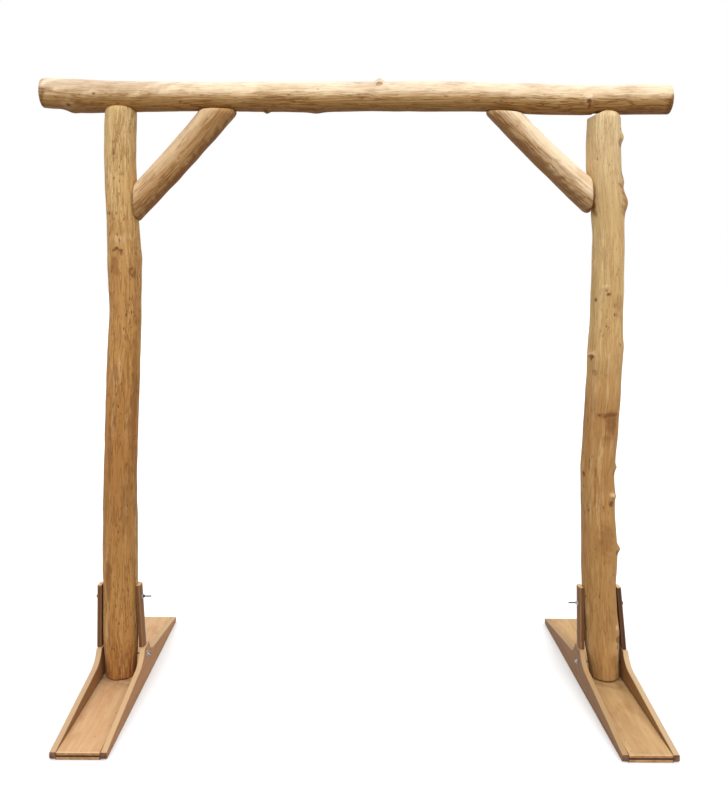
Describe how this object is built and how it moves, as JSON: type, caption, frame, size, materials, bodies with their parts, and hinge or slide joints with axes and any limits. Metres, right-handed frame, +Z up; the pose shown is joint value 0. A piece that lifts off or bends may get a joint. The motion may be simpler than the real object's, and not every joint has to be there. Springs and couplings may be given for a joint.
{
  "type": "round log arch",
  "caption": "Free-standing open arch of peeled round logs: crossbeam on two posts with slanting corner braces, each post clamped upright in a low wooden foot with long toes.",
  "frame": {"origin": "on the floor, midway between the crossbeam's two ends and midway between the toes of the feet", "axes": "+X along the crossbeam to the right as seen from the front, +Y towards the back, +Z up"},
  "size_m": [2.245, 0.914, 2.1498],
  "materials": {
    "log_wood": "peeled softwood log, waxed",
    "brace_wood": "peeled softwood log, waxed",
    "board_wood": "planed softwood board",
    "strip_wood": "stained softwood strip",
    "zinc_steel": "zinc plated"
  },
  "bodies": {
    "root": {"crossbeam": "log_wood", "left_post": "log_wood", "right_post": "log_wood", "left_brace": "brace_wood", "right_brace": "brace_wood", "left_base_board": "board_wood", "left_outer_side_board": "board_wood", "left_inner_side_board": "board_wood", "left_outer_upright_strip": "strip_wood", "left_inner_upright_strip": "strip_wood", "left_upper_bolt": "zinc_steel", "left_lower_bolt": "zinc_steel", "left_upper_washer": "zinc_steel", "left_lower_washer": "zinc_steel", "left_upper_wing_nut": "zinc_steel", "left_lower_wing_nut": "zinc_steel", "right_base_board": "board_wood", "right_outer_side_board": "board_wood", "right_inner_side_board": "board_wood", "right_outer_upright_strip": "strip_wood", "right_inner_upright_strip": "strip_wood", "right_upper_bolt": "zinc_steel", "right_lower_bolt": "zinc_steel", "right_upper_washer": "zinc_steel", "right_lower_washer": "zinc_steel", "right_upper_wing_nut": "zinc_steel", "right_lower_wing_nut": "zinc_steel"}
  },
  "joints": []
}
